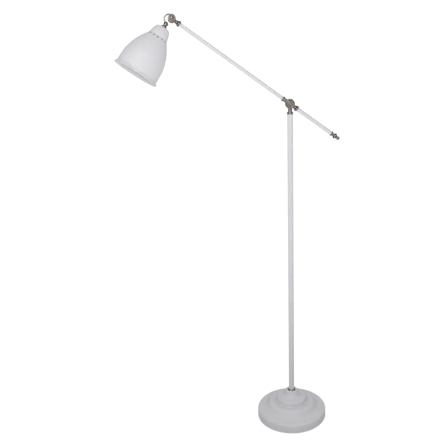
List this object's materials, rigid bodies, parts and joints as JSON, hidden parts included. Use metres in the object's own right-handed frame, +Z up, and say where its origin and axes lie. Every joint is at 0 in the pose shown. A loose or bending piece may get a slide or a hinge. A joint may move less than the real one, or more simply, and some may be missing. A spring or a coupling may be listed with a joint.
{
  "type": "adjustable arm floor lamp",
  "caption": "Floor lamp with a stepped round base, straight pole, disc hinge, tilting counter-arm with turned finial and a vented bell shade on a bowed second hinge.",
  "frame": {"origin": "centre of the base's underside, on the floor", "axes": "+Z up along the pole; the shade hangs towards -X and the finial points towards +X; the pole hinge runs along Y and the shade hinge is rolled 12 degrees about the arm, both with their knobs towards -Y"},
  "size_m": [0.7171, 0.2532, 1.4339],
  "materials": {
    "white_enamel": "soft satin white powder coat",
    "satin_nickel": "polished warm nickel plating",
    "zinc_steel": "zinc plated steel",
    "cast_iron": "rough black casting",
    "black_felt": "pressed felt",
    "grey_rubber": "moulded light grey rubber",
    "fibre_washer": "dark fibre",
    "lead_sleeve": "light grey cable sleeve",
    "lampholder_white": "white moulded lampholder",
    "plated_brass": "nickel-flashed brass",
    "bulb_aluminium": "rolled aluminium bulb cap",
    "opal_glass": "opal white glass"
  },
  "bodies": {
    "base": {"base_cover": "white_enamel", "base_weight": "cast_iron", "base_pad": "black_felt", "base_nut": "zinc_steel", "base_washer": "zinc_steel", "base_nipple": "zinc_steel", "cord_inlet": "grey_rubber", "pole": "white_enamel", "pole_plug": "zinc_steel", "pole_foot_ring": "satin_nickel", "pole_collar": "satin_nickel", "pole_lead": "lead_sleeve", "pole_knuckle": "satin_nickel", "arm_hinge_friction_washer": "fibre_washer", "arm_hinge_rear_washer": "zinc_steel", "arm_hinge_bolt": "zinc_steel"},
    "arm": {"arm_hub": "satin_nickel", "arm_hinge_spring_washer": "zinc_steel", "arm_long_collet": "satin_nickel", "arm_short_collet": "satin_nickel", "arm_tip_collet": "satin_nickel", "arm_long_tube": "white_enamel", "arm_short_tube": "white_enamel", "arm_finial": "satin_nickel", "arm_lead": "lead_sleeve", "arm_knuckle": "satin_nickel", "shade_hinge_friction_washer": "fibre_washer", "shade_hinge_rear_washer": "zinc_steel", "shade_hinge_spring_washer": "zinc_steel", "shade_hinge_bolt": "zinc_steel"},
    "shade": {"shade_bow": "satin_nickel", "neck_collar": "satin_nickel", "neck_nipple": "zinc_steel", "neck_nut": "zinc_steel", "shade_cap": "white_enamel", "shade_bell": "white_enamel", "lampholder_cap": "lampholder_white", "lampholder_body": "lampholder_white", "lampholder_screw_shell": "plated_brass", "lampholder_contact": "plated_brass", "bulb_cap": "bulb_aluminium", "bulb_globe": "opal_glass"},
    "arm_knob": {"arm_hinge_knob": "satin_nickel"},
    "shade_knob": {"shade_hinge_knob": "satin_nickel"}
  },
  "joints": [
    {"name": "arm_tilt", "type": "hinge", "parent": "base", "child": "arm", "pos_m": [0, 0, 1.147], "axis": [0, 1, 0], "range_deg": [-76, 9]},
    {"name": "shade_tilt", "type": "hinge", "parent": "arm", "child": "shade", "pos_m": [-0.37127, 0, 1.41774], "axis": [-0.1265, 0.9767, -0.1735], "range_deg": [-40, 75]},
    {"name": "arm_knob_turn", "type": "hinge", "parent": "base", "child": "arm_knob", "pos_m": [0, 0, 1.147], "axis": [0, -1, 0], "range_deg": [0, 360]},
    {"name": "shade_knob_turn", "type": "hinge", "parent": "arm", "child": "shade_knob", "pos_m": [-0.37127, 0, 1.41774], "axis": [0.1265, -0.9767, 0.1735], "range_deg": [0, 360]}
  ]
}
